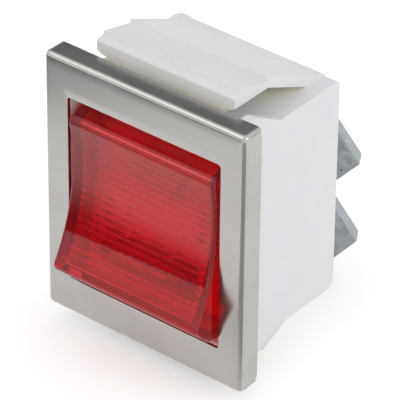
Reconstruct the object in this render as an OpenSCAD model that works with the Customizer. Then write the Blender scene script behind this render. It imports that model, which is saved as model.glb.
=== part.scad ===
// Illuminated two-pole rocker switch for a rectangular panel cut-out.
//
// Frame: the origin is the middle of the bezel's opening, on the plane of the bezel's back rim,
// which is the face of the panel. +X is right as the user sees it, -Y is out towards the user,
// +Y goes into the panel, +Z is up. The switch is drawn ON: the top of the rocker is pressed in.
// Turning parts are drawn about their own pivots with Y pointing back into the switch.

/* [Bezel] */
// Width over the folded rim
bezel_w = 25.2; // [24.8:0.1:28]
// Height over the folded rim
bezel_h = 30; // [29.8:0.1:33]
// Depth of the folded rim, front face to panel
bezel_t = 2.6; // [2.4:0.1:3.4]
// Thickness of the plated sheet
sheet_t = 0.4; // [0.3:0.05:0.45]
// Outside radius of the fold
fold_r = 0.55; // [0.5:0.05:0.9]
// Width of the opening
opening_w = 19.2; // [18:0.1:19.4]
// Height of the opening
opening_h = 21.5; // [21.3:0.1:22.5]

/* [Rocker] */
// Tilt to each side of the middle, in degrees
rock_tilt = 9.5; // [7:0.5:10]
// Gap between the rocker and each side of the opening
rocker_gap = 0.4; // [0.3:0.05:0.6]
// Height of the two raised lips above the pivot line
lip_rise = 3.6; // [3.2:0.1:4.2]
// Distance from the middle to each lip
lip_reach = 8.2; // [7.6:0.1:8.6]
// Depth of the finger dish between the lips
dish_depth = 1.65; // [1:0.05:2]
// Wall of the clear moulding
lens_wall = 1.1; // [0.8:0.05:1.3]
// Radius of the curved skirt about the pivot
skirt_r = 10.1; // [9.6:0.1:10.2]
// Pivot line's distance in front of the panel plane
pivot_out = 1.0; // [0.95:0.05:1.2]
// Radius of the moulded pivot pins
trunnion_r = 0.85; // [0.6:0.05:0.9]
// Pitch of the light-spreading ribs under the dish
rib_pitch = 0.8; // [0.6:0.1:1.6]

/* [Housing] */
// Width of the body behind the panel
body_w = 20.9; // [20.6:0.1:21.6]
// Height over the side cheeks
body_h = 24.5; // [24:0.1:25.4]
// Depth from the panel plane to the back
body_d = 15; // [15:0.1:18]
// Thickness of the side cheeks
cheek_t = 1.0; // [0.8:0.05:1]
// Thickness of the closed back
back_t = 1.8; // [1.4:0.1:2]
// Reach of the right cheek's flared front ends from the middle
flare_reach = 14.45; // [14:0.05:14.5]
// Thickness of the wall between the two poles
divider_t = 1.2; // [0.8:0.1:1.6]

/* [Snap-in wings] */
// Width of each wing
wing_w = 17.2; // [12:0.1:18]
// Thickness of each wing's arm
wing_t = 1.05; // [0.9:0.05:1.3]
// Reach of the ridge from the middle
wing_reach = 16.2; // [15.6:0.1:16.6]
// Depth of the ridge behind the panel plane
ridge_y = 5.9; // [5.4:0.1:7]
// Gap between a wing's front edge and the panel plane
grip_gap = 0.75; // [0.6:0.05:1.2]
// Depth of the lip that hangs from each wing's front edge
lip_drop = 0.8; // [0.4:0.1:1.2]

/* [Contacts] */
// Distance of each pole from the middle
pole_x = 5.7; // [5.2:0.05:5.8]
// Distance of the switched row below the common row
row_drop = 9.5; // [9:0.1:9.5]
// Tilt of the contact see-saw to each side, in degrees
contact_tilt = 8; // [6:0.5:9]
// Width of the copper see-saw
strip_w = 4; // [3:0.1:4.2]
// Thickness of the copper see-saw
strip_t = 0.6; // [0.4:0.05:0.8]
// Height of the see-saw's pivot line over the cavity floor
seesaw_rise = 3.8; // [3.7:0.1:4.2]
// Radius of the plunger
plunger_r = 1.5; // [1.2:0.05:1.6]

/* [Terminals] */
// Width of the push-on blade
blade_w = 6.3; // [4.8:0.1:6.3]
// Thickness of the push-on blade
blade_t = 0.8; // [0.5:0.05:0.9]
// Length of the blade behind the back of the body
blade_len = 8; // [6.4:0.1:9]
// Radius of the latch hole in the blade
latch_r = 0.85; // [0.6:0.05:0.9]

/* [Lamp] */
// Radius of the neon bulb
bulb_r = 2; // [1.6:0.1:2]
// Length of the neon bulb
bulb_len = 10; // [8:0.1:10.4]
// Radius of the lamp's wires
wire_r = 0.25; // [0.2:0.05:0.3]

/* [Hidden] */
$fn = 64;

eps = 0.01;           // how far a cut runs past a face
fit = 0.05;           // clearance of pieces that are pushed together or slide
slack = 0.1;          // least clearance across a moving joint
rocker_w = opening_w - 2 * rocker_gap;
dish_r = (pow(lip_reach, 2) + pow(dish_depth, 2)) / (2 * dish_depth);
dish_y = -(lip_rise + sqrt(pow(dish_r, 2) - pow(lip_reach, 2)));   // axis of the dish
pin_grip = 0.6;       // how far the pivot pins reach into the housing's walls
pin_reach = opening_w / 2 + pin_grip;
lip_slope = 33.5;     // lean of the end walls behind the lips, in degrees
skirt_back = 2.9;     // the skirt's rear edge behind the pivot line
edge_r = 0.4;         // rounding of the rocker's long edges
lip_r = 0.7;          // rounding of the lips
cavity_w = body_w - 2 * cheek_t;
cavity_h = opening_h - 0.3;
floor_y = body_d - back_t;
flange_t = bezel_t - sheet_t - fit;
pad_t = 0.8;          // thickness of the terminals' inner ends
pad_y = floor_y - pad_t;
contact_rise = 0.6;   // height of the fixed contact over its pad
strip_y = floor_y - seesaw_rise;   // see-saw's pivot line
plunger_len = strip_y + pivot_out - slack - strip_t / 2;    // rocker's pivot line to plunger tip
lug_r = 0.45;         // radius of the see-saw's pivot lugs
arm_down = 10.1;      // see-saw's arm towards the switched contact
arm_up = 8;           // see-saw's idle arm
rivet_at = row_drop - 0.7;   // moving contact's distance from the see-saw's pivot
rivet_r = 1.3;
shank_r = 0.7;
blade_end = body_d + blade_len;
plate_front = 1.9;    // carrier plate, behind the pivot line
plate_t = 1;
sleeve_end = 0.66 * plunger_len;
sleeve_r = plunger_r + 0.7;
seat_y = plate_front + 0.5;  // blind end of the sleeves
travel = 0.4;         // how far a plunger can be pushed in
plunger_back = plunger_len / 2;
lamp_z = -5;
lamp_y = 1.2;
resistor_r = 1.1;
resistor_len = 6;
resistor_z = 5;
resistor_y = plate_front - resistor_r - fit;

// ---- frames and profile helpers ----

// Extrudes a (Y, Z) profile along X, centred
module along_x(w) rotate([90, 0, 90]) linear_extrude(w, center = true) children();

// Extrudes an (X, Z) profile from y0 to y1
module along_y(y0, y1) translate([0, y1, 0]) rotate([90, 0, 0]) linear_extrude(y1 - y0) children();

// A cylinder along Y from y0 to y1
module rod_y(r, y0, y1) along_y(y0, y1) circle(r);

// Places a piece that turns with the rocker, tilted as when the top is pressed
module on_rocker() translate([0, -pivot_out, 0]) rotate([-rock_tilt, 0, 0]) children();

// Places a piece that turns with a contact see-saw, tilted to the closed side
module on_contact(side) translate([side * pole_x, strip_y, 0]) rotate([contact_tilt, 0, 0]) children();

module mirrored_z() {
  children();
  mirror([0, 0, 1]) children();
}

module mirrored_x() {
  children();
  mirror([1, 0, 0]) children();
}

// A rectangle with round corners, centred
module round_rect(w, h, r) {
  square([w, h - 2 * r], center = true);
  square([w - 2 * r, h], center = true);
  for (x = [-1, 1], y = [-1, 1]) translate([x * (w / 2 - r), y * (h / 2 - r)]) circle(r);
}

// What a corner of a profile loses when it is rounded: the corner is at p, its edges leave
// along the directions a and b, in degrees, and b is the one found by turning left from a
module corner_waste(p, a, b, r) {
  half = (b - a) / 2;
  middle = p + r / sin(half) * [cos(a + half), sin(a + half)];
  run = r / tan(half);
  beyond = 0.2;
  difference() {
    polygon([middle,
             p + run * [cos(a), sin(a)],
             p + run * [cos(a), sin(a)] + beyond * [cos(a - 90), sin(a - 90)],
             p - beyond * 3 * [cos(a + half), sin(a + half)],
             p + run * [cos(b), sin(b)] + beyond * [cos(b + 90), sin(b + 90)],
             p + run * [cos(b), sin(b)]]);
    translate(middle) circle(r);
  }
}

// ---- bezel: one pressed and plated sheet, folded back on all four sides ----

// The solid outline of the pressing, moved in by d all round and cut off at a depth
module pressing(d, depth) {
  front = -bezel_t + d;
  r = max(fold_r - d, 0.05);
  w = bezel_w - 2 * d;
  h = bezel_h - 2 * d;
  deep = 2 * bezel_t;
  intersection() {
    translate([0, front + deep / 2, 0]) along_x(w) round_rect(deep, h, r);
    translate([0, front + deep / 2, -h / 2]) linear_extrude(h) round_rect(w, deep, r);
    along_y(front, depth) round_rect(w, h, r);
  }
}

module bezel() color([0.74, 0.73, 0.71]) difference() {
  pressing(0, 0);
  pressing(sheet_t, bezel_t);
  along_y(-bezel_t - eps, 0) round_rect(opening_w, opening_h, 0.3);
  // open corner seams: the side rims stop short of the top and bottom rims
  for (x = [-1, 1], z = [-1, 1])
    translate([x * (bezel_w / 2 - sheet_t / 2), -bezel_t / 2 + fold_r, z * (bezel_h / 2 - sheet_t - 0.08)])
      cube([sheet_t + 2 * eps, bezel_t, 0.12], center = true);
}

// ---- housing: one nylon moulding with a cavity, cheeks and snap-in wings ----

root_y = body_d - 2.4;        // front of the thick root across the back
wing_end_y = body_d - 1.2;    // where the arm meets the root's top
root_rise = 0.3;      // its height over the body
root_reach = body_h / 2 + root_rise;
stub = [1.4, 2.2, 0.15];      // moulding stub left on the body beside the upper root
left_r = 0.7;         // rounding along the plain cheek's top and bottom edges
wing_slope = atan2(wing_reach - root_reach, wing_end_y - ridge_y);   // lean of the wings' arms
grip_rise = 0.65;     // top of the grip teeth over the ridge's foot
under_z = wing_reach - wing_t / cos(wing_slope);
front_drop = 0.35;    // how much thicker a wing is at its front edge than at the ridge

// Side outline of the upper wing, as (Y, Z)
module wing_profile() polygon([
  [grip_gap, under_z - front_drop],
  [grip_gap, wing_reach - 0.15],
  [grip_gap + 0.15, wing_reach + 0.05],
  [grip_gap + 0.95, wing_reach + 0.15],
  [grip_gap + 1.05, wing_reach + grip_rise - 0.15],
  [grip_gap + 1.9, wing_reach + 0.32],
  [ridge_y - 0.1, wing_reach - 0.42],
  [ridge_y, wing_reach],
  [wing_end_y, root_reach],
  [wing_end_y, root_reach - wing_t / cos(wing_slope)],
  [ridge_y, under_z]
]);

// Lower corner cut off each end of a wing's front edge
module front_corner(side) polygon([
  [side * (wing_w / 2 + eps), under_z + eps],
  [side * (wing_w / 2 - 0.7), under_z - front_drop - eps],
  [side * (wing_w / 2 + eps), under_z - front_drop - eps]
]);

// Side outline of the lip on the wing's front edge, which bears on the back of the panel
module lip_profile() polygon([
  [grip_gap, under_z + 0.2],
  [grip_gap, under_z - lip_drop],
  [grip_gap + 0.5, under_z - lip_drop],
  [grip_gap + 1.3, under_z],
  [grip_gap + 1.3, under_z + 0.2]
]);

// Side outline of the thick root that carries a wing
module root_profile() difference() {
  translate([root_y, root_reach - 1]) square([body_d - root_y, 1]);
  corner_waste([body_d, root_reach], 180, 270, 0.6);
}

// Side outline of a cheek: straight behind, and flared towards the front flange if its reach there
// is more than the body's
flare_y = 5.6;        // depth at which the flare starts
flare_top = 1.6;      // depth at which it is widest
flare_r = [1.6, 0.8]; // rounding of its upper and lower corners
module cheek_profile(reach) {
  back_r = [0.4, 0.9];
  lean = atan2(reach - body_h / 2, flare_y - flare_top);
  difference() {
    polygon([[-flange_t, -reach], [flare_top, -reach], [flare_y, -body_h / 2], [body_d, -body_h / 2],
             [body_d, body_h / 2], [flare_y, body_h / 2], [flare_top, reach], [-flange_t, reach]]);
    corner_waste([body_d, body_h / 2], 180, 270, back_r[0]);
    corner_waste([body_d, -body_h / 2], 90, 180, back_r[1]);
    if (lean > 1) {
      corner_waste([flare_top, reach], 180, 360 - lean, flare_r[0]);
      mirror([0, 1]) corner_waste([flare_top, reach], 180, 360 - lean, flare_r[1]);
    }
  }
}

// Section of a blade or of its slot, turned 45 degrees about Y
module blade_section(w, t) rotate(-45) square([w, t], center = true);

module trunnion_socket() rotate([0, 90, 0])
  cylinder(r = trunnion_r + fit, h = 2 * (pin_reach + slack), center = true);

// The moulding without its inner walls
module shell() difference() {
  union() {
    // flange inside the bezel
    pressing(sheet_t + fit, 0);
    // body between the cheeks
    along_x(body_w - 2 * cheek_t + fit) cheek_profile(body_h / 2);
    // cheeks
    translate([body_w / 2 - cheek_t / 2, 0, 0]) along_x(cheek_t) cheek_profile(flare_reach);
    translate([cheek_t / 2 - body_w / 2, 0, 0]) along_x(cheek_t) cheek_profile(body_h / 2);
    // wings, the lips on their front edges and their thick roots
    mirrored_z() {
      difference() {
        along_x(wing_w) wing_profile();
        for (side = [-1, 1]) along_y(grip_gap - eps, ridge_y) front_corner(side);
      }
      along_x(wing_w - 2.4) lip_profile();
      along_x(wing_w) root_profile();
    }
    translate([left_r + 0.05 - body_w / 2, body_d - stub.y, body_h / 2 - 0.5]) cube(stub + [0, 0, 0.5]);
  }
  mirrored_z() along_y(0, body_d + eps) corner_waste([-body_w / 2, body_h / 2], 270, 360, left_r);
  // cavity, a little wider where the rocker dips in
  along_y(-flange_t - eps, floor_y) square([cavity_w, cavity_h], center = true);
  along_y(-flange_t - eps, flare_y - 2) square([opening_w, cavity_h], center = true);
  translate([0, -pivot_out, 0]) trunnion_socket();
  for (side = [-1, 1], row = [0, -row_drop])
    translate([side * pole_x, 0, row]) along_y(floor_y - eps, body_d + eps)
      blade_section(blade_w + 2 * fit, blade_t + 2 * fit);
}

stop_w = 3;           // stops behind the see-saws' idle arms
stop_h = 1.5;
stop_y = strip_y + arm_up * sin(contact_tilt) + strip_t / 2 + slack;
divider_y = 4.2;      // front edge of the wall between the poles, clear of the rocker's swing

module housing() color([0.9, 0.9, 0.91]) {
  shell();
  along_y(divider_y, floor_y + eps) square([divider_t, cavity_h + 2 * eps], center = true);
  for (side = [-1, 1]) translate([side * pole_x, 0, arm_up - stop_h / 2])
    along_y(stop_y, floor_y + eps) square([stop_w, stop_h], center = true);
}

// ---- rocker: one clear red moulding, hollow behind ----

// Section across the pivot line, as (Y, Z), moved in by d
module rocker_section(d, back) {
  normal = [-sin(lip_slope), cos(lip_slope)];
  along = [cos(lip_slope), sin(lip_slope)];
  lip = [-lip_rise, lip_reach] - d * normal;
  front = lip - 3 * along;
  rear = lip + 9 * along;
  difference() {
    intersection() {
      circle(skirt_r - d);
      polygon([front, rear, [back, rear.y], [back, -rear.y], [rear.x, -rear.y], [front.x, -front.y]]);
    }
    translate([dish_y, 0]) circle(dish_r + d, $fn = 180);
  }
}

// What the upper lip loses when it is rounded, between the dish and the end wall
module lip_waste() {
  along = [cos(lip_slope), sin(lip_slope)];
  inward = [sin(lip_slope), -cos(lip_slope)];
  dish_middle = [dish_y, 0];
  lip = [-lip_rise, lip_reach];
  from_dish = lip + lip_r * inward - dish_middle;
  run = sqrt(pow(from_dish * along, 2) - from_dish * from_dish + pow(dish_r + lip_r, 2)) - from_dish * along;
  middle = dish_middle + from_dish + run * along;
  to_dish = (dish_middle - middle) / norm(dish_middle - middle);
  beyond = 0.3;
  difference() {
    polygon([middle,
             middle - lip_r * inward,
             middle - (lip_r + beyond) * inward,
             lip + beyond * (to_dish - inward),
             middle + (lip_r + beyond) * to_dish,
             middle + lip_r * to_dish]);
    translate(middle) circle(lip_r);
  }
}

// Light-spreading ribs: small ridges that follow the dish's underside
module rib_section() {
  r_top = dish_r + lens_wall - eps;
  step = rib_pitch / r_top * 180 / PI;
  ribs = floor((lip_reach - 1.6) / rib_pitch);
  for (i = [-ribs : ribs])
    translate([dish_y, 0]) rotate(i * step)
      polygon([[r_top - 0.02, -rib_pitch * 0.36], [r_top + 0.24, 0], [r_top - 0.02, rib_pitch * 0.36]]);
}

// Rounds one side's long edges: a torus along the dish and straight fillets down the end walls
module side_edges() {
  side = rocker_w / 2;
  dish_angle = asin(lip_reach / dish_r);
  fillet_run = 4.5;
  translate([side, dish_y, 0]) rotate([0, -90, 0]) rotate([0, 0, 90 - 1.3 * dish_angle])
    rotate_extrude(angle = 2.6 * dish_angle) difference() {
      translate([dish_r - 1, -1]) square([1 + edge_r, 1 + edge_r]);
      translate([dish_r + edge_r, edge_r]) circle(edge_r);
      translate([dish_r + edge_r, -2]) square([1, 4]);
      translate([dish_r - 2, edge_r]) square([4, 1]);
    }
  mirrored_z() translate([side, -lip_rise, lip_reach]) rotate([lip_slope, 0, 0])
    translate([0, -fillet_run / 3, 0]) rotate([-90, 0, 0]) linear_extrude(fillet_run) difference() {
      translate([-edge_r, -1]) square([1 + edge_r, 1 + edge_r]);
      translate([-edge_r, edge_r]) circle(edge_r);
      translate([-2, edge_r]) square([2 + edge_r, 2]);
      translate([-2 - edge_r, -1.5]) square([2, 4]);
    }
}

module rocker() color([0.82, 0.05, 0.08]) on_rocker() {
  difference() {
    along_x(rocker_w) difference() {
      rocker_section(0, skirt_back);
      lip_waste();
      mirror([0, 1]) lip_waste();
    }
    difference() {
      along_x(rocker_w - 2 * lens_wall) rocker_section(lens_wall, 2 * skirt_back);
      along_x(rocker_w) intersection() {
        rib_section();
        translate([-lip_rise, -lip_reach]) square([lip_rise, 2 * lip_reach]);
      }
    }
    mirrored_x() side_edges();
  }
  // pivot pins
  mirrored_x() translate([rocker_w / 2 - eps, 0, 0]) rotate([0, 90, 0])
    cylinder(r = trunnion_r, h = pin_reach - rocker_w / 2 + eps);
}

// ---- lamp carrier: the moulded plate that closes the rocker and guides the plungers ----

module lamp_carrier() color([0.93, 0.92, 0.86]) on_rocker() difference() {
  plate_w = rocker_w - 2 * lens_wall - 2 * fit;
  plate_h = 2 * (sqrt(pow(skirt_r - lens_wall, 2) - pow(plate_front + plate_t, 2)) - fit);
  cradle_x = bulb_len / 2 - 2.2;
  union() {
    along_y(plate_front, plate_front + plate_t) round_rect(plate_w, plate_h, 0.3);
    for (side = [-1, 1]) translate([side * pole_x, 0, 0]) rod_y(sleeve_r, plate_front - 0.6, sleeve_end);
    // cradle ribs that hold the bulb
    for (x = [-1, 1]) translate([x * cradle_x - 0.3, lamp_y - 0.6, lamp_z - bulb_r - 0.8])
      cube([0.6, plate_front + plate_t - lamp_y + 0.6, 2 * bulb_r + 1.6]);
    // strengthening rib across the back, between the sleeves
    translate([0, plate_front + plate_t + 0.4, 0]) cube([2 * pole_x - sleeve_r, 1, 1.2], center = true);
  }
  // window for the bulb, and its seat in the ribs
  translate([0, plate_front + plate_t / 2, lamp_z])
    difference() {
      cube([bulb_len + 0.8, 3 * plate_t, 2 * bulb_r + 0.4], center = true);
      for (x = [-1, 1]) translate([x * cradle_x, 0, 0]) cube([0.6, 9, 9], center = true);
    }
  translate([0, lamp_y, lamp_z]) rotate([0, 90, 0]) cylinder(r = bulb_r + fit, h = bulb_len, center = true);
  for (side = [-1, 1]) translate([side * pole_x, 0, 0]) {
    rod_y(plunger_r + fit, seat_y, sleeve_end + eps);
    rod_y(wire_r + fit, 0, seat_y + eps);
  }
}

// ---- neon lamp with its series resistor, wired between the two plungers ----

electrode_gap = 0.7;  // each electrode's distance from the bulb's axis
pinch_x = -bulb_len / 2;
glass_t = 0.35;

// A bent wire through the points p, with round joints
module wire(p) {
  for (i = [0 : len(p) - 2]) {
    span = p[i + 1] - p[i];
    reach = norm(span);
    translate(p[i]) rotate([0, acos(span.z / reach), atan2(span.y, span.x)])
      cylinder(r = wire_r, h = reach, $fn = 24);
    if (i > 0) translate(p[i]) sphere(r = wire_r + 0.03, $fn = 24);
  }
}

module neon_bulb() color([0.95, 0.75, 0.6, 0.5]) on_rocker() translate([0, lamp_y, lamp_z]) difference() {
  rotate([0, 90, 0]) rotate_extrude() difference() {
    union() {
      translate([0, -bulb_len / 2]) square([bulb_r, bulb_len - bulb_r]);
      intersection() {
        translate([0, bulb_len / 2 - bulb_r]) circle(bulb_r);
        square([bulb_r, bulb_len]);
      }
    }
    translate([0, -bulb_len / 2 + 1.2]) square([bulb_r - glass_t, bulb_len - bulb_r - 1.2]);
    intersection() {
      translate([0, bulb_len / 2 - bulb_r]) circle(bulb_r - glass_t);
      square([bulb_r, bulb_len]);
    }
  }
  for (z = [-1, 1]) translate([pinch_x - eps, 0, z * electrode_gap]) rotate([0, 90, 0])
    cylinder(r = wire_r, h = 1.2 + 2 * eps, $fn = 16);
}

// The stretch of wire inside the bulb, with the fatter electrode on its end
module electrode(z) translate([pinch_x + 1.6, lamp_y, z]) rotate([0, 90, 0])
  cylinder(r = wire_r + 0.15, h = bulb_len - bulb_r - 2.4, $fn = 24);

module lamp_lead_left() color([0.72, 0.72, 0.7]) on_rocker() {
  z = lamp_z + electrode_gap;
  electrode(z);
  wire([[pinch_x + 1.6, lamp_y, z], [-pole_x, lamp_y, z], [-pole_x, lamp_y - 0.3, -1.2],
        [-pole_x, lamp_y - 0.3, 0], [-pole_x, seat_y + wire_r, 0]]);
  translate([-pole_x, 0, 0]) rod_y(plunger_r - 0.3, seat_y, seat_y + 0.3);
}

module lamp_lead_link() color([0.72, 0.72, 0.7]) on_rocker() {
  z = lamp_z - electrode_gap;
  bend_x = pinch_x - 1.6;
  electrode(z);
  wire([[pinch_x + 1.6, lamp_y, z], [bend_x, lamp_y, z], [bend_x, 0.2, z + 2.4],
        [bend_x, 0.2, resistor_z - 1.4], [-resistor_len / 2 - 1, resistor_y, resistor_z],
        [-resistor_len / 2, resistor_y, resistor_z]]);
}

module ballast_resistor() color([0.75, 0.6, 0.42]) on_rocker()
  translate([0, resistor_y, resistor_z]) rotate([0, 90, 0]) {
    cap_len = 1.5;
    cylinder(r = resistor_r - 0.2, h = resistor_len, center = true);
    for (end = [-1, 1]) translate([0, 0, end * (resistor_len - cap_len) / 2])
      cylinder(r = resistor_r, h = cap_len, center = true);
  }

module lamp_lead_right() color([0.72, 0.72, 0.7]) on_rocker() {
  wire([[resistor_len / 2, resistor_y, resistor_z], [pole_x, resistor_y, resistor_z], [pole_x, resistor_y, 0],
        [pole_x, seat_y + wire_r, 0]]);
  translate([pole_x, 0, 0]) rod_y(plunger_r - 0.3, seat_y, seat_y + 0.3);
}

// ---- plungers and their springs, in the carrier's sleeves ----

module plunger(side) color([0.8, 0.65, 0.35]) on_rocker() translate([side * pole_x, 0, 0]) {
  nose_r = 1;
  rod_y(plunger_r, plunger_back, plunger_len - 1.8);
  rod_y(nose_r, plunger_len - 1.8 - eps, plunger_len - nose_r);
  translate([0, plunger_len - nose_r, 0]) sphere(nose_r);
}

module plunger_left() plunger(-1);
module plunger_right() plunger(1);

coil_wire = 0.18;     // radius of the spring wire
coil_turns = 4;

// A coil of round wire along Y, as rings of points joined into a tube
module plunger_spring(side) color([0.6, 0.6, 0.62]) on_rocker() translate([side * pole_x, 0, 0]) {
  coil_r = plunger_r - 0.35;
  y0 = seat_y + 0.3 + coil_wire;
  y1 = plunger_back - travel - fit - coil_wire;
  sides = 8;
  per_turn = 18;
  rings = coil_turns * per_turn;
  points = [for (i = [0 : rings], j = [0 : sides - 1])
    let (turn = 360 * i / per_turn, around = 360 * j / sides, r = coil_r + coil_wire * cos(around))
      [r * cos(turn), y0 + (y1 - y0) * i / rings + coil_wire * sin(around), r * sin(turn)]];
  tube = [for (i = [0 : rings - 1], j = [0 : sides - 1])
    let (k = (j + 1) % sides) [i * sides + j, i * sides + k, (i + 1) * sides + k, (i + 1) * sides + j]];
  ends = [[for (j = [sides - 1 : -1 : 0]) j], [for (j = [0 : sides - 1]) rings * sides + j]];
  polyhedron(points, concat(tube, ends));
}

module plunger_spring_left() plunger_spring(-1);
module plunger_spring_right() plunger_spring(1);

// ---- contact see-saws with their riveted contacts ----

module contact_rocker(side) color([0.78, 0.5, 0.32]) on_contact(side) difference() {
  union() {
    translate([0, 0, (arm_up - arm_down) / 2]) along_y(-strip_t / 2, strip_t / 2)
      round_rect(strip_w, arm_up + arm_down, 1.2);
    mirrored_x() translate([strip_w / 2 - eps, 0, 0]) rotate([0, 90, 0]) cylinder(r = lug_r, h = 0.85 + eps);
  }
  translate([0, 0, -rivet_at]) rod_y(shank_r, -strip_t, strip_t);
}

module contact_rocker_left() contact_rocker(-1);
module contact_rocker_right() contact_rocker(1);

// Silver rivet: domed face behind the strip, shank through it and a head in front
dome_edge = 0.4;
dome_rise = 0.3;
module moving_contact(side) color([0.85, 0.85, 0.83]) on_contact(side) translate([0, 0, -rivet_at]) {
  dome_r = (pow(rivet_r, 2) + pow(dome_rise, 2)) / (2 * dome_rise);
  face = strip_t / 2;
  rotate([-90, 0, 0]) rotate_extrude() {
    translate([0, face]) square([rivet_r, dome_edge]);
    intersection() {
      translate([0, face + dome_edge + dome_rise - dome_r]) circle(dome_r, $fn = 96);
      translate([0, face]) square([rivet_r, dome_edge + dome_rise]);
    }
    translate([0, -face - eps]) square([shank_r, strip_t + 2 * eps]);
    translate([0, -face - 0.3]) square([1, 0.3]);
  }
}

module moving_contact_left() moving_contact(-1);
module moving_contact_right() moving_contact(1);

module fixed_contact(side) color([0.85, 0.85, 0.83])
  translate([side * pole_x, 0, -rivet_at * cos(contact_tilt)]) {
    rod_y(rivet_r, pad_y - contact_rise, pad_y);
    rod_y(shank_r, pad_y - eps, floor_y);
  }

module fixed_contact_left() fixed_contact(-1);
module fixed_contact_right() fixed_contact(1);

// ---- terminals: flat push-on blades through the back, turned 45 degrees ----

// A blade with bevelled tip corners and a latch hole; its middle is on the Y axis
module blade() difference() {
  tip_cut = 0.75;
  tip_lean = 20;
  hole_y = blade_end - 4.2;
  along_y(floor_y, blade_end) blade_section(blade_w, blade_t);
  rotate([0, 45, 0]) {
    // corners and the two lead-in bevels of the tip
    for (s = [-1, 1]) {
      translate([s * blade_w / 2, blade_end, 0]) rotate([0, 0, 45])
        cube([tip_cut * sqrt(2), tip_cut * sqrt(2), 2], center = true);
      translate([0, blade_end, s * blade_t / 2]) rotate([s * tip_lean, 0, 0]) translate([0, 0, s * 0.5])
        cube([blade_w + 1, 2, 1], center = true);
    }
    translate([0, hole_y, 0]) cylinder(r = latch_r, h = 2 * blade_t, center = true);
  }
}

// Joins a blade to the pad in front of it
module neck() along_y(floor_y - pad_t / 2, floor_y + eps) blade_section(2, blade_t);

module common_terminal(side) color([0.62, 0.63, 0.63]) translate([side * pole_x, 0, 0]) difference() {
  ear_x = strip_w / 2 + 0.15;
  ear_t = 0.7;
  ear_h = 2.4;
  union() {
    blade();
    neck();
    along_y(pad_y, floor_y) square([2 * (ear_x + ear_t), 5.2], center = true);
    mirrored_x() translate([ear_x + ear_t / 2, 0, 0]) along_x(ear_t) difference() {
      translate([strip_y - 0.7, -ear_h / 2]) square([floor_y - strip_y + 0.7, ear_h]);
      corner_waste([strip_y - 0.7, ear_h / 2], -90, 0, 0.6);
      corner_waste([strip_y - 0.7, -ear_h / 2], 0, 90, 0.6);
    }
  }
  // open notch in which the see-saw's lugs rock
  translate([0, strip_y, 0]) rotate([0, 90, 0]) cylinder(r = lug_r + fit, h = 2 * pole_x, center = true);
  translate([0, strip_y - 1, 0]) cube([2 * pole_x, 2, 2 * (lug_r + fit)], center = true);
}

module common_terminal_left() common_terminal(-1);
module common_terminal_right() common_terminal(1);

module switched_terminal(side) color([0.62, 0.64, 0.66])
  translate([side * pole_x, 0, -row_drop]) difference() {
  pad_w = 4.4;
  pad_up = 3;
  pad_low = cavity_h / 2 - fit - row_drop;
  union() {
    blade();
    neck();
    along_y(pad_y, floor_y) translate([-pad_w / 2, -pad_low]) square([pad_w, pad_low + pad_up]);
  }
  translate([0, 0, row_drop - rivet_at * cos(contact_tilt)]) rod_y(shank_r, pad_y - eps, floor_y + eps);
}

module switched_terminal_left() switched_terminal(-1);
module switched_terminal_right() switched_terminal(1);

bezel();
housing();
rocker();
lamp_carrier();
neon_bulb();
ballast_resistor();
lamp_lead_left();
lamp_lead_link();
lamp_lead_right();
plunger_left();
plunger_right();
plunger_spring_left();
plunger_spring_right();
contact_rocker_left();
contact_rocker_right();
moving_contact_left();
moving_contact_right();
fixed_contact_left();
fixed_contact_right();
common_terminal_left();
common_terminal_right();
switched_terminal_left();
switched_terminal_right();
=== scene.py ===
import math

import bmesh
import bpy
from mathutils import Matrix, Vector, noise


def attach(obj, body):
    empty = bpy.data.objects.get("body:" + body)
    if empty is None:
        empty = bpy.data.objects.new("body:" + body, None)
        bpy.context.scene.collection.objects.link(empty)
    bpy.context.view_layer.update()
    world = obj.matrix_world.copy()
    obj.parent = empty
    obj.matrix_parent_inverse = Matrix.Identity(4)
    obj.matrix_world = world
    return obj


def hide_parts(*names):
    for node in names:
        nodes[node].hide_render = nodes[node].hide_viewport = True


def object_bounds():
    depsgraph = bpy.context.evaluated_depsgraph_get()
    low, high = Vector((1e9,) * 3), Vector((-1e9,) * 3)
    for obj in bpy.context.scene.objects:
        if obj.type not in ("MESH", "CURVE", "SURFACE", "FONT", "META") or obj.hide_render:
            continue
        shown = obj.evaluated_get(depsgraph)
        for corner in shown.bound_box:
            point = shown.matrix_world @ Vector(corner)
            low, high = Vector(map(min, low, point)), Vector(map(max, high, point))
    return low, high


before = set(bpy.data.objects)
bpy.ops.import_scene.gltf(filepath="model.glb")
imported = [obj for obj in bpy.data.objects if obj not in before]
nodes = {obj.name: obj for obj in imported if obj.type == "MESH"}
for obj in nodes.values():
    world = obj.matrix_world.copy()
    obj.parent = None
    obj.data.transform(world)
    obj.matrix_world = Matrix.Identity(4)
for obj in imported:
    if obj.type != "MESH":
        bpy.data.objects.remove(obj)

MM = 0.001
cad_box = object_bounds()


def put(tree, kind, feeds=None, **settings):
    """Adds a node; feeds gives its sockets a value or another node's output."""
    node = tree.nodes.new(kind)
    for name, value in settings.items():
        setattr(node, name, value)
    for socket, value in (feeds or {}).items():
        if isinstance(value, bpy.types.NodeSocket):
            tree.links.new(value, node.inputs[socket])
        else:
            node.inputs[socket].default_value = value
    return node


def maths(tree, operation, a, b=0.0, clamp=False):
    return put(tree, "ShaderNodeMath", {0: a, 1: b}, operation=operation, use_clamp=clamp).outputs[0]


def blend(tree, mask, a, b):
    """Colour a where the mask is 0 and colour b where it is 1."""
    mix = put(tree, "ShaderNodeMix", {"Factor": mask}, data_type="RGBA")
    for socket, value in ((mix.inputs[6], a), (mix.inputs[7], b)):
        if isinstance(value, bpy.types.NodeSocket):
            tree.links.new(value, socket)
        else:
            socket.default_value = (*value, 1)
    return mix.outputs[2]


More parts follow.
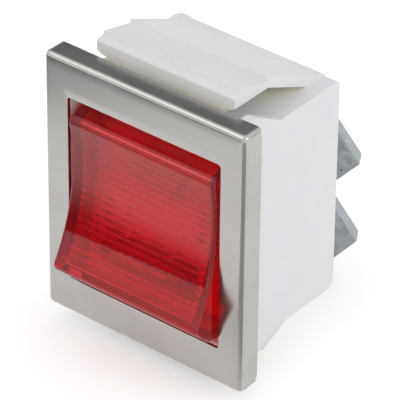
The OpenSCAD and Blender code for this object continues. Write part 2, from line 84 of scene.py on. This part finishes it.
def ramp(tree, value, low, high, at_low=0.0, at_high=1.0):
    """Maps value from low..high to at_low..at_high, clamped."""
    feeds = {"Value": value, "From Min": low, "From Max": high, "To Min": at_low, "To Max": at_high}
    return put(tree, "ShaderNodeMapRange", feeds).outputs["Result"]


def millimetres(tree):
    """The piece's own coordinates, in millimetres."""
    place = put(tree, "ShaderNodeTexCoord").outputs["Object"]
    return put(tree, "ShaderNodeVectorMath", {0: place, "Scale": 1 / MM}, operation="SCALE").outputs[0]


def effect(name, inputs, outputs):
    """An empty shader group for an effect that several finishes share."""
    tree = bpy.data.node_groups.new(name, "ShaderNodeTree")
    for label, value in inputs.items():
        socket = tree.interface.new_socket(label, in_out="INPUT", socket_type="NodeSocketFloat")
        socket.default_value = value
    for label in outputs:
        tree.interface.new_socket(label, in_out="OUTPUT", socket_type="NodeSocketFloat")
    return tree, put(tree, "NodeGroupInput").outputs, put(tree, "NodeGroupOutput").inputs


def with_effect(tree, group, **values):
    """Places an effect in a finish; the values' names are its inputs in lower case."""
    feeds = {socket.capitalize(): value for socket, value in values.items()}
    return put(tree, "ShaderNodeGroup", feeds, node_tree=group).outputs


def finish(name, **plain):
    """A new material; plain gives the shader's even values, with _ for the spaces in their names."""
    material = bpy.data.materials.new(name)
    material.use_nodes = True
    shader = material.node_tree.nodes["Principled BSDF"]
    for socket, value in plain.items():
        shader.inputs[socket.replace("_", " ")].default_value = value
    return material, material.node_tree, shader


def bump(tree, shader, height, depth):
    """Raises the surface by up to depth, in millimetres, where height is 1."""
    raised = put(tree, "ShaderNodeBump", {"Height": height, "Distance": depth * MM, "Strength": 1.0})
    tree.links.new(raised.outputs["Normal"], shader.inputs["Normal"])


def dress(names, material, edge=0.0):
    """Gives CAD nodes a finish, and soft edges of that radius in millimetres."""
    for name in names:
        node = nodes[name]
        node.data.materials.clear()
        node.data.materials.append(material)
        if edge:
            flat = node.modifiers.new("merge flats", "DECIMATE")
            flat.decimate_type = "DISSOLVE"
            flat.angle_limit = math.radians(0.6)
            soft = node.modifiers.new("soft edges", "BEVEL")
            soft.width = edge * MM
            soft.segments = 2
            soft.limit_method = "ANGLE"
            soft.angle_limit = math.radians(35)
            soft.harden_normals = True


# Shared effect: the skin of a moulding or a rolled sheet, with a slow unevenness of tone
grain, grain_in, grain_out = effect("surface grain", {"Pitch": 0.2, "Patch": 6.0}, ["Height", "Mottle"])
place = millimetres(grain)
fine = put(grain, "ShaderNodeTexNoise", {"Vector": place, "Detail": 3.0, "Roughness": 0.6,
           "Scale": maths(grain, "DIVIDE", 1.0, grain_in["Pitch"])})
slow = put(grain, "ShaderNodeTexNoise", {"Vector": place, "Detail": 2.0,
           "Scale": maths(grain, "DIVIDE", 1.0, grain_in["Patch"])})
grain.links.new(fine.outputs[0], grain_out["Height"])
grain.links.new(ramp(grain, slow.outputs[0], 0.3, 0.7), grain_out["Mottle"])

# Shared effect: edges rubbed by handling, broken up so that no edge is worn evenly
wear, wear_in, wear_out = effect("edge wear", {"Width": 0.15, "Breakup": 2.0}, ["Mask"])
rounded = put(wear, "ShaderNodeBevel", {"Radius": maths(wear, "MULTIPLY", wear_in["Width"], MM)}, samples=4)
facing = put(wear, "ShaderNodeVectorMath", {0: rounded.outputs[0],
             1: put(wear, "ShaderNodeNewGeometry").outputs["Normal"]}, operation="DOT_PRODUCT")
edges = ramp(wear, facing.outputs["Value"], 0.99, 0.9)
patches = put(wear, "ShaderNodeTexNoise", {"Vector": millimetres(wear), "Detail": 3.0,
              "Scale": wear_in["Breakup"]})
worn = maths(wear, "MULTIPLY", edges, ramp(wear, patches.outputs[0], 0.4, 0.6))
wear.links.new(worn, wear_out["Mask"])

# Shared effect: a few dark specks, as dust in a moulding or pits in a plating
specks, specks_in, specks_out = effect("specks", {"Spacing": 3.0, "Size": 0.15}, ["Mask"])
cells = put(specks, "ShaderNodeTexVoronoi", {"Vector": millimetres(specks),
            "Scale": maths(specks, "DIVIDE", 1.0, specks_in["Spacing"])})
across = maths(specks, "MULTIPLY", cells.outputs["Distance"], specks_in["Spacing"])
inside = maths(specks, "LESS_THAN", across, specks_in["Size"])
chance = put(specks, "ShaderNodeSeparateColor", {0: cells.outputs["Color"]}).outputs[0]
chosen = maths(specks, "GREATER_THAN", chance, 0.6)
specks.links.new(maths(specks, "MULTIPLY", inside, chosen), specks_out["Mask"])

nylon, tree, shader = finish("housing nylon", Subsurface_Weight=0.2, Subsurface_Scale=1.0 * MM, IOR=1.53)
skin = with_effect(tree, grain, pitch=0.16, patch=7.0)
# Painted light: where ambient occlusion finds recesses, under the wings and between parts, the nylon is
# painted a paler cream, a painted glow that stands in for light let in through the translucent nylon
painted_recess_glow = put(tree, "ShaderNodeAmbientOcclusion", {"Distance": 3 * MM}, samples=8)
tone = blend(tree, skin["Mottle"], (0.80, 0.805, 0.83), (0.85, 0.852, 0.87))
tone = blend(tree, ramp(tree, painted_recess_glow.outputs["AO"], 0.75, 0.15), tone, (0.97, 0.95, 0.82))
tone = blend(tree, with_effect(tree, specks, spacing=4.5, size=0.16)["Mask"], tone, (0.32, 0.31, 0.29))
tone = blend(tree, with_effect(tree, wear, width=0.2, breakup=1.2)["Mask"], tone, (0.86, 0.862, 0.88))
tree.links.new(tone, shader.inputs["Base Color"])
tree.links.new(ramp(tree, skin["Mottle"], 0, 1, 0.42, 0.56), shader.inputs["Roughness"])
bump(tree, shader, skin["Height"], 0.012)
dress(["housing"], nylon, edge=0.12)

# ---- terminals ----
# Four push-on blades pressed from steel strip and zinc plated, with bevelled tips and a latch
# hole. The plating is mottled and pitted, and the blades' edges show brighter metal.
SIDES = ("left", "right")
plating, tree, shader = finish("terminal plating", Metallic=1.0)
skin = with_effect(tree, grain, pitch=0.3, patch=2.2)
spangle = put(tree, "ShaderNodeTexVoronoi", {"Vector": millimetres(tree), "Scale": 1.6})
flake = put(tree, "ShaderNodeSeparateColor", {0: spangle.outputs["Color"]}).outputs[0]
tone = blend(tree, flake, (0.20, 0.21, 0.215), (0.33, 0.35, 0.36))
tone = blend(tree, skin["Mottle"], tone, (0.26, 0.28, 0.3))
tone = blend(tree, with_effect(tree, specks, spacing=0.9, size=0.14)["Mask"], tone, (0.08, 0.085, 0.09))
tone = blend(tree, with_effect(tree, wear, width=0.1, breakup=1.5)["Mask"], tone, (0.62, 0.63, 0.63))
tree.links.new(tone, shader.inputs["Base Color"])
tree.links.new(ramp(tree, flake, 0, 1, 0.3, 0.5), shader.inputs["Roughness"])
bump(tree, shader, skin["Height"], 0.02)
dress([kind + "_terminal_" + side for kind in ("common", "switched") for side in SIDES], plating, edge=0.06)

# ---- contacts ----
# Silver rivets on the switched terminals and on the ends of two copper see-saws, which rock in
# the ears of the common terminals. The copper is rolled strip, dulled by handling.
def mottled(name, pitch, patch, tones, rough, depth, worn=None, **plain):
    """A finish whose tone and roughness vary with its grain; worn gives the edges' width, breakup and tone."""
    material, tree, shader = finish(name, **plain)
    skin = with_effect(tree, grain, pitch=pitch, patch=patch)
    tone = blend(tree, skin["Mottle"], *tones)
    if worn:
        width, breakup, bare = worn
        tone = blend(tree, with_effect(tree, wear, width=width, breakup=breakup)["Mask"], tone, bare)
    tree.links.new(tone, shader.inputs["Base Color"])
    tree.links.new(ramp(tree, skin["Mottle"], 0, 1, *rough), shader.inputs["Roughness"])
    bump(tree, shader, skin["Height"], depth)
    return material


silver = mottled("contact silver", 0.1, 1.0, ((0.72, 0.71, 0.68), (0.86, 0.85, 0.83)), (0.22, 0.4), 0.006,
                 Metallic=1.0)
dress([kind + "_contact_" + side for kind in ("fixed", "moving") for side in SIDES], silver, edge=0.05)

copper = mottled("contact copper", 0.15, 2.0, ((0.55, 0.27, 0.15), (0.78, 0.44, 0.28)), (0.25, 0.45), 0.008,
                 worn=(0.1, 2.0, (0.9, 0.6, 0.42)), Metallic=1.0)
dress(["contact_rocker_" + side for side in SIDES], copper, edge=0.05)

# ---- plungers ----
# Two turned brass plungers ride in the carrier's sleeves and press the see-saws; each is pushed
# out by a small coil spring of bright steel wire.
brass, tree, shader = finish("plunger brass", Metallic=1.0)
turned = put(tree, "ShaderNodeTexWave", {"Vector": millimetres(tree), "Scale": 9.0, "Distortion": 0.6},
             bands_direction="Y")
skin = with_effect(tree, grain, pitch=0.2, patch=1.5)
tree.links.new(blend(tree, skin["Mottle"], (0.62, 0.44, 0.18), (0.8, 0.62, 0.3)), shader.inputs["Base Color"])
tree.links.new(ramp(tree, turned.outputs["Fac"], 0, 1, 0.2, 0.34), shader.inputs["Roughness"])
bump(tree, shader, turned.outputs["Fac"], 0.004)
dress(["plunger_" + side for side in SIDES], brass)

spring_steel = mottled("spring steel", 0.1, 0.8, ((0.42, 0.42, 0.43), (0.6, 0.6, 0.6)), (0.2, 0.35), 0.004,
                       Metallic=1.0)
dress(["plunger_spring_" + side for side in SIDES], spring_steel)

# ---- lamp ----
# A cream carrier plate closes the rocker and holds a neon bulb on a ceramic resistor's leads.
# The bulb is clear glass with two nickel electrodes, unlit.
carrier = mottled("carrier moulding", 0.2, 4.0, ((0.86, 0.83, 0.76), (0.92, 0.90, 0.84)), (0.5, 0.65), 0.01,
                  worn=(0.12, 1.5, (0.95, 0.94, 0.9)), IOR=1.5)
dress(["lamp_carrier"], carrier, edge=0.08)

glass = mottled("bulb glass", 1.5, 2.5, ((0.96, 0.93, 0.9), (1.0, 0.98, 0.96)), (0.01, 0.05), 0.01,
                Transmission_Weight=1.0, IOR=1.5)
dress(["neon_bulb"], glass)

ceramic = mottled("resistor body", 0.12, 2.0, ((0.5, 0.36, 0.2), (0.6, 0.45, 0.27)), (0.3, 0.45), 0.008,
                  IOR=1.5)
dress(["ballast_resistor"], ceramic)

tinned = mottled("lamp wire", 0.15, 1.2, ((0.5, 0.5, 0.49), (0.68, 0.68, 0.66)), (0.25, 0.42), 0.006,
                 Metallic=1.0)
dress(["lamp_lead_left", "lamp_lead_link", "lamp_lead_right"], tinned)

# ---- rocker ----
# One clear red moulding, hollow behind: a finger dish between two raised lips, with prism ribs
# under the dish, fine flutes down the end walls and pins on its sides. It snaps into the housing
# and turns on the pins; the top is pressed in.
ROCK_TILT = math.radians(9.5)
PIVOT_OUT = 1.0
ROCKER_W = 18.4
LIP_RISE, LIP_REACH = 3.6, 8.2
DISH_DEPTH = 1.65
LIP_SLOPE = math.radians(33.5)
SKIRT_R, SKIRT_BACK = 10.1, 2.9
LENS_WALL = 1.1
LIP_R, INNER_LIP_R, EDGE_R = 0.7, 0.25, 0.4
RIB_PITCH, RIB_H = 0.8, 0.2
FLUTE_PITCH, FLUTE_H = 0.7, 0.08
PIN_R, PIN_REACH = 0.85, 10.2
dish_r = (LIP_REACH ** 2 + DISH_DEPTH ** 2) / (2 * DISH_DEPTH)
dish_y = -(LIP_RISE + math.sqrt(dish_r ** 2 - LIP_REACH ** 2))


def lens_half(inset, lip_r, rib_h):
    """The upper half of the lens's section as (Y, Z), from the middle of the dish to the skirt's rear edge."""
    radius = dish_r + inset
    wall = Vector((math.cos(LIP_SLOPE), math.sin(LIP_SLOPE)))
    normal = Vector((-wall.y, wall.x))
    lip = Vector((-LIP_RISE, LIP_REACH)) - inset * normal
    # where the moved-in end wall meets the moved-in dish
    middle = Vector((dish_y, 0))
    along = (lip - middle).dot(wall)
    lip = lip + wall * (-along + math.sqrt(along ** 2 - (lip - middle).length ** 2 + radius ** 2))
    angle = math.asin(lip.y / radius)
    tangent = Vector((math.sin(angle), -math.cos(angle)))
    half = math.acos(tangent.dot(wall)) / 2
    run = lip_r / math.tan(half)
    last = angle - run / radius
    count = round(radius * last / RIB_PITCH * 8)
    points = []
    for i in range(count):
        turn = last * i / count
        saw = abs((radius * turn / RIB_PITCH) % 1 - 0.5) * 2
        reach = radius + rib_h * saw * min(1, (last - turn) * radius / RIB_PITCH)
        points.append(Vector((dish_y + reach * math.cos(turn), reach * math.sin(turn))))
    centre = lip + (tangent + wall).normalized() * lip_r / math.sin(half)
    start = (lip + tangent * run - centre)
    sweep = math.pi - 2 * half
    for i in range(9):
        turn = sweep * i / 8
        points.append(centre + Matrix.Rotation(-turn, 2) @ start)
    skirt = SKIRT_R - inset
    along = lip.dot(wall)
    corner = lip + wall * (-along + math.sqrt(along ** 2 - lip.length ** 2 + skirt ** 2))
    points += [points[-1].lerp(corner, t) for t in (0.33, 0.67)]
    first, back = math.atan2(corner.x, corner.y), math.asin(SKIRT_BACK / skirt)
    for i in range(9):
        turn = first + (back - first) * i / 8
        points.append(Vector((skirt * math.sin(turn), skirt * math.cos(turn))))
    return points


def lens_section(inset, lip_r, rib_h=0.0):
    upper = lens_half(inset, lip_r, rib_h)
    lower = [Vector((p.x, -p.y)) for p in reversed(upper[1:])]
    return lower + upper


def moved_in(section, distance):
    """The section moved inwards, square to itself; its ends stay on the rear plane."""
    out = []
    for i, p in enumerate(section):
        ahead = section[min(i + 1, len(section) - 1)] - section[max(i - 1, 0)]
        square = Vector((ahead.y, -ahead.x)).normalized()
        q = p + square * distance
        out.append(Vector((min(q.x, SKIRT_BACK), q.y)))
    return out


lens_mesh = bmesh.new()


def skin_over(sections):
    """A grid of faces over sections, each a list of points with its X; returns the vertex rows."""
    rows = [[lens_mesh.verts.new((x, p.x, p.y)) for p in points] for x, points in sections]
    for a, b in zip(rows, rows[1:]):
        for i in range(len(a) - 1):
            lens_mesh.faces.new((a[i], a[i + 1], b[i + 1], b[i]))
    return rows


half_w = ROCKER_W / 2
outer = lens_section(0, LIP_R)
corner_steps = [math.radians(90) * i / 6 for i in range(7)]
right_side = []
for a in corner_steps:
    x = half_w - EDGE_R + EDGE_R * math.sin(a)
    right_side.append((x, moved_in(outer, EDGE_R * (1 - math.cos(a)))))
left_side = [(-x, points) for x, points in reversed(right_side)]
outer_rows = skin_over(left_side + right_side)
for row in (outer_rows[0], outer_rows[-1]):
    lens_mesh.faces.new(row if row is outer_rows[-1] else list(reversed(row)))

# inside: ribs across the dish and flutes down both end walls
outside = len(lens_mesh.faces)
inner_w = half_w - LENS_WALL
inner = lens_section(LENS_WALL, INNER_LIP_R, RIB_H)
# the flutes start behind the ribs' last one and below the inner lip
flute_from, flute_below = LIP_REACH - 1.4, -LIP_RISE + 1.9
on_wall = [abs(p.y) > flute_from and p.x > flute_below for p in inner]
flutes = round(2 * inner_w / FLUTE_PITCH)
FLUTE_STEPS = 4
steps = FLUTE_STEPS * flutes
fluted = []
for i in range(steps + 1):
    x = -inner_w + 2 * inner_w * i / steps
    depth = FLUTE_H * abs((i / FLUTE_STEPS) % 1 - 0.5) * 2
    cut = moved_in(inner, depth)
    fluted.append((x, [c if w else p for p, c, w in zip(inner, cut, on_wall)]))
inner_rows = skin_over(fluted)
for row in (inner_rows[0], inner_rows[-1]):
    lens_mesh.faces.new(row)
lens_mesh.faces.ensure_lookup_table()
for face in lens_mesh.faces[outside:]:
    face.material_index = 1

# the flat rear rim that joins outside and inside
for out_row, in_row in ((outer_rows[0], inner_rows[0]), (outer_rows[-1], inner_rows[-1])):
    lens_mesh.faces.new((out_row[0], out_row[-1], in_row[-1], in_row[0]))
for end in (0, -1):
    edge = [row[end] for row in outer_rows] + [row[end] for row in reversed(inner_rows)]
    lens_mesh.faces.new(edge)

bmesh.ops.recalc_face_normals(lens_mesh, faces=lens_mesh.faces)
SUNK = 0.02     # how far the pins start inside the side walls
pin_len = PIN_REACH - half_w + SUNK
for side in (-1, 1):
    pin_place = Matrix.Translation((side * (half_w + pin_len / 2 - SUNK), 0, 0))
    turned_pin = pin_place @ Matrix.Rotation(math.pi / 2, 4, "Y")
    bmesh.ops.create_cone(lens_mesh, cap_ends=True, segments=32, radius1=PIN_R, radius2=PIN_R,
                          depth=pin_len, matrix=turned_pin)
to_panel = Matrix.Scale(MM, 4) @ Matrix.Translation((0, -PIVOT_OUT, 0)) @ Matrix.Rotation(-ROCK_TILT, 4, "X")
lens_mesh.transform(to_panel)


def piece(name, built, material, body, stands_for, sharp=30):
    """Makes a built mesh into a piece that rides on a body and stands for a CAD node."""
    mesh = bpy.data.meshes.new(name)
    built.to_mesh(mesh)
    built.free()
    mesh.shade_smooth()
    mesh.set_sharp_from_angle(angle=math.radians(sharp))
    mesh.materials.append(material)
    made = bpy.data.objects.new(name, mesh)
    bpy.context.scene.collection.objects.link(made)
    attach(made, body)
    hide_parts(stands_for)
    return made


def lens_finish(name, gloss, clear):
    """Red acrylic of that roughness; light reaches the carrier through it, tinted."""
    material, tree, shader = finish(name, IOR=1.49, Transmission_Weight=clear)
    skin = with_effect(tree, grain, pitch=0.5, patch=3.0)
    tone = blend(tree, skin["Mottle"], (0.94, 0.018, 0.03), (0.97, 0.024, 0.04))
    tree.links.new(tone, shader.inputs["Base Color"])
    tree.links.new(ramp(tree, skin["Mottle"], 0, 1, gloss, gloss + 0.04), shader.inputs["Roughness"])
    bump(tree, shader, skin["Height"], 0.002)
    through = put(tree, "ShaderNodeBsdfTransparent", {"Color": (0.98, 0.08, 0.1, 1)})
    choice = put(tree, "ShaderNodeMixShader", {0: put(tree, "ShaderNodeLightPath").outputs["Is Shadow Ray"],
                 1: shader.outputs[0], 2: through.outputs[0]})
    tree.links.new(choice.outputs[0], tree.nodes["Material Output"].inputs["Surface"])
    return material


lens_red = lens_finish("rocker red", 0.02, 0.85)
frosted = lens_finish("rocker red inside", 0.16, 0.92)
lens = piece("rocker_lens", lens_mesh, lens_red, "rocker", "rocker")
lens.data.materials.append(frosted)

# ---- bezel ----
# A frame pressed from thin sheet and nickel plated, its rim folded back on all four sides. The
# metal is gathered at the corners, where the rims meet in a crinkled seam.
BEZEL_W, BEZEL_H, BEZEL_T = 25.2, 30.0, 2.6
OPEN_W, OPEN_H, OPEN_R = 19.2, 21.5, 0.3
SHEET, FOLD = 0.4, 0.55
CUT_R = 0.08        # rounding of the punched opening's front edge
NEAR, NEAR_STEP = 22, 0.07      # close steps beside each corner
FOLD_STEPS = 8


def frame_loop(half_w, half_h, radius, y):
    """One turn round the frame, closely stepped near the corners."""
    near = [NEAR_STEP * i for i in range(NEAR)]
    clear = NEAR * NEAR_STEP
    points = []
    for quarter in range(4):
        length, width = (half_w, half_h) if quarter % 2 == 0 else (half_h, half_w)
        straight = 2 * (length - radius)
        middle = [clear + (straight - 2 * clear) * i / 12 for i in range(1, 12)]
        steps = near + middle + [straight - s for s in reversed(near)]
        turn = Matrix.Rotation(-math.pi / 2 * quarter, 2)
        for s in steps:
            points.append(turn @ Vector((-length + radius + s, width)))
        for i in range(1, 6):
            a = math.pi / 2 * i / 6
            round_to = radius * Vector((math.sin(a), math.cos(a)))
            points.append(turn @ (Vector((length - radius, width - radius)) + round_to))
    return [Vector((p.x, y, p.y)) for p in points]


GATHER_AT, GATHER_W = 0.62, 0.3     # the crinkled strip, from the top or bottom of the rim
SEAM_AT, SEAM_W = 0.42, 0.07        # the seam beside it
GATHER_DEPTH = 0.22
FRONT_CLEAR = 0.2                   # nothing moves this near the front face


def gathered(p):
    """Moves a point of the folded rim inwards where the sheet is gathered near a corner."""
    behind = p.y + BEZEL_T - FRONT_CLEAR
    if abs(p.x) < BEZEL_W / 2 - 0.35 or behind < 0:
        return p
    from_top = BEZEL_H / 2 - abs(p.z)
    strip = math.exp(-((from_top - GATHER_AT) / GATHER_W) ** 2)
    seam = math.exp(-((from_top - SEAM_AT) / SEAM_W) ** 2)
    rough = noise.noise(p * 2.6) * 0.5 + 0.5
    push = GATHER_DEPTH * (strip * rough + seam) * min(1, behind / 0.5)
    return Vector((math.copysign(abs(p.x) - push, p.x), p.y, p.z))


def ragged(p):
    """The sheared rear edge is slightly uneven."""
    short = 0.05 * (noise.noise(p * 0.9) + 0.6) if p.y > -0.3 else 0
    return Vector((p.x, p.y - max(0, short), p.z))


back_face = -BEZEL_T + SHEET
open_x, open_z = OPEN_W / 2, OPEN_H / 2
rim_x, rim_z = BEZEL_W / 2, BEZEL_H / 2
flat_x, flat_z = rim_x - FOLD, rim_z - FOLD
# the loops that the sheet passes through: half width, half height, corner radius and Y
shape = [(open_x, open_z, OPEN_R, back_face), (open_x, open_z, OPEN_R, -BEZEL_T + CUT_R)]
for a in (30, 60, 90):
    out = CUT_R * (1 - math.cos(math.radians(a)))
    deep = CUT_R * (1 - math.sin(math.radians(a)))
    shape.append((open_x + out, open_z + out, OPEN_R + out, -BEZEL_T + deep))
for t in (0.25, 0.5, 0.75):
    shape.append((open_x + (flat_x - open_x) * t, open_z + (flat_z - open_z) * t, OPEN_R, -BEZEL_T))
for i in range(FOLD_STEPS + 1):
    a = math.pi / 2 * i / FOLD_STEPS
    out = FOLD * math.sin(a)
    shape.append((flat_x + out, flat_z + out, 0.12 + 0.43 * math.sin(a), -BEZEL_T + FOLD * (1 - math.cos(a))))
shape += [(rim_x, rim_z, FOLD, y) for y in (-1.8, -1.5, -1.2, -0.9, -0.6, -0.3, -0.05)]
shape.append((rim_x - 0.05, rim_z - 0.05, FOLD - 0.05, 0))
shape += [(rim_x - SHEET, rim_z - SHEET, 0.2, y) for y in (0, back_face)]
sheet_mesh = bmesh.new()
loops = [[sheet_mesh.verts.new(ragged(gathered(p)) * MM) for p in frame_loop(*row)] for row in shape]
for a, b in zip(loops, loops[1:] + loops[:1]):
    for i in range(len(a)):
        j = (i + 1) % len(a)
        sheet_mesh.faces.new((a[i], a[j], b[j], b[i]))
bmesh.ops.recalc_face_normals(sheet_mesh, faces=sheet_mesh.faces)

nickel, tree, shader = finish("bezel nickel", Metallic=1.0)
skin = with_effect(tree, grain, pitch=0.35, patch=5.0)
drawn_out = put(tree, "ShaderNodeVectorMath", {0: millimetres(tree), 1: (0.5, 6.0, 9.0)}, operation="MULTIPLY")
brushed = put(tree, "ShaderNodeTexNoise", {"Vector": drawn_out.outputs[0], "Scale": 1.0, "Detail": 4.0})
tone = blend(tree, skin["Mottle"], (0.44, 0.43, 0.415), (0.485, 0.473, 0.458))
tone = blend(tree, with_effect(tree, wear, width=0.25, breakup=0.8)["Mask"], tone, (0.58, 0.565, 0.54))
tone = blend(tree, with_effect(tree, specks, spacing=3.2, size=0.1)["Mask"], tone, (0.3, 0.28, 0.26))
tree.links.new(tone, shader.inputs["Base Color"])
satin = ramp(tree, skin["Mottle"], 0, 1, 0.14, 0.22)
streaks = maths(tree, "MULTIPLY", brushed.outputs[0], 0.06)
tree.links.new(maths(tree, "ADD", satin, streaks), shader.inputs["Roughness"])
bump(tree, shader, maths(tree, "ADD", skin["Height"], brushed.outputs[0]), 0.0012)
piece("bezel_frame", sheet_mesh, nickel, "base", "bezel")

# ---- studio ----
# A pale floor just under the switch, two soft boxes, and dark cards that give the metal and the
# lens something to mirror; the camera looks down at the front's right corner.
scene = bpy.context.scene
scene.view_settings.view_transform = "Standard"


def staged(name, built, material):
    """Makes a built mesh into a part of the studio."""
    mesh = bpy.data.meshes.new(name)
    built.to_mesh(mesh)
    built.free()
    mesh.materials.append(material)
    made = bpy.data.objects.new(name, mesh)
    scene.collection.objects.link(made)
    return made


def seen_directly(tree):
    """1 for rays from the camera, off a glossy surface or through glass."""
    path = put(tree, "ShaderNodeLightPath").outputs
    glossy = maths(tree, "MAXIMUM", path["Is Camera Ray"], path["Is Glossy Ray"])
    return maths(tree, "MAXIMUM", glossy, path["Is Transmission Ray"])


floor_look = bpy.data.materials.new("pale floor")
floor_look.use_nodes = True
tree = floor_look.node_tree
matt = put(tree, "ShaderNodeBsdfDiffuse", {"Color": (0.96, 0.96, 0.96, 1)})
glow = maths(tree, "MULTIPLY", seen_directly(tree), 0.32)
lift = put(tree, "ShaderNodeEmission", {"Color": (1, 1, 1, 1), "Strength": glow})
both = put(tree, "ShaderNodeAddShader", {0: matt.outputs[0], 1: lift.outputs[0]})
tree.links.new(both.outputs[0], tree.nodes["Material Output"].inputs["Surface"])
FLOOR_SIZE = 3.0
floor_mesh = bmesh.new()
bmesh.ops.create_grid(floor_mesh, x_segments=1, y_segments=1, size=FLOOR_SIZE / 2)
floor = staged("floor", floor_mesh, floor_look)
floor.location.z = cad_box[0].z - 0.3 * MM

# dark cards, seen only in the gloss; each fades in from 0 to 1 over its rows
card_look = bpy.data.materials.new("dark card")
card_look.use_nodes = True
tree = card_look.node_tree
strength = put(tree, "ShaderNodeAttribute", attribute_name="strength").outputs["Fac"]
dark = put(tree, "ShaderNodeEmission", {"Color": (0.03, 0.03, 0.03, 1), "Strength": 1.0})
faded = put(tree, "ShaderNodeMixShader", {0: strength,
            1: put(tree, "ShaderNodeBsdfTransparent").outputs[0], 2: dark.outputs[0]})
tree.links.new(faded.outputs[0], tree.nodes["Material Output"].inputs["Surface"])


CARD_STEPS = 12


def card(name, first, last, rows):
    """A curved card about the switch from one bearing to another; rows are (radius, height, strength)."""
    built = bmesh.new()
    layer = built.verts.layers.float.new("strength")
    bearings = [math.radians(first + (last - first) * i / CARD_STEPS) for i in range(CARD_STEPS + 1)]
    grid = []
    for radius, z, value in rows:
        round_it = [Vector((radius * math.sin(a), -radius * math.cos(a), z)) for a in bearings]
        grid.append([built.verts.new(p * MM) for p in round_it])
        for v in grid[-1]:
            v[layer] = value
    for low, high in zip(grid, grid[1:]):
        for i in range(CARD_STEPS):
            built.faces.new((low[i], low[i + 1], high[i + 1], high[i]))
    made = staged(name, built, card_look)
    made.visible_camera = False
    made.visible_diffuse = False
    made.visible_shadow = False


card("front_strip", -85, -8, [(46, -16.9, 0), (56, -16.2, 0.45), (66, -14, 0.9), (74, -9, 1), (80, -5.5, 1)])
card("front_apron", 8, 75, [(10, -16.9, 0), (22, -16.9, 0.6), (60, -16, 0.6), (90, -12, 0)])
card("back_sheet", 180, 256, [(420, 60, 0), (400, 150, 0.8), (330, 300, 0.8), (220, 420, 0)])

world = bpy.data.worlds.new("studio")
scene.world = world
world.use_nodes = True
tree = world.node_tree
surround = maths(tree, "ADD", maths(tree, "MULTIPLY", seen_directly(tree), 0.3), 0.7)
tree.links.new(surround, tree.nodes["Background"].inputs["Strength"])
tree.nodes["Background"].inputs["Color"].default_value = (1, 1, 1, 1)


def soft_box(name, size, power, place):
    data = bpy.data.lights.new(name, "AREA")
    data.size = size
    data.energy = power
    lamp = bpy.data.objects.new(name, data)
    scene.collection.objects.link(lamp)
    lamp.location = place
    lamp.rotation_mode = "QUATERNION"
    lamp.rotation_quaternion = Vector(place).to_track_quat("Z", "Y")


soft_box("key", 0.35, 0.45, (-0.25, -0.35, 0.5))
soft_box("fill", 0.35, 0.6, (0.5, 0.1, 0.3))

# the camera's place, from the middle of what it frames
AZIMUTH, ELEVATION, ROLL = math.radians(38.742), math.radians(33.686), math.radians(0.578)
DISTANCE = 346.206 * MM
target = Vector((5.079, 0, 3.599)) * MM
flat_back = math.cos(ELEVATION)
back = Vector((math.sin(AZIMUTH) * flat_back, -math.cos(AZIMUTH) * flat_back, math.sin(ELEVATION)))
level = Vector((0, 0, 1)).cross(back).normalized()
upright = back.cross(level)
right = level * math.cos(ROLL) + upright * math.sin(ROLL)
up = upright * math.cos(ROLL) - level * math.sin(ROLL)
camera_data = bpy.data.cameras.new("camera")
camera_data.sensor_width = 36
camera_data.lens = 320.4
camera_data.clip_start = 10 * MM
camera = bpy.data.objects.new("camera", camera_data)
scene.collection.objects.link(camera)
turned = Matrix((right, up, back)).transposed().to_4x4()
camera.matrix_world = Matrix.Translation(target + back * DISTANCE) @ turned
scene.camera = camera
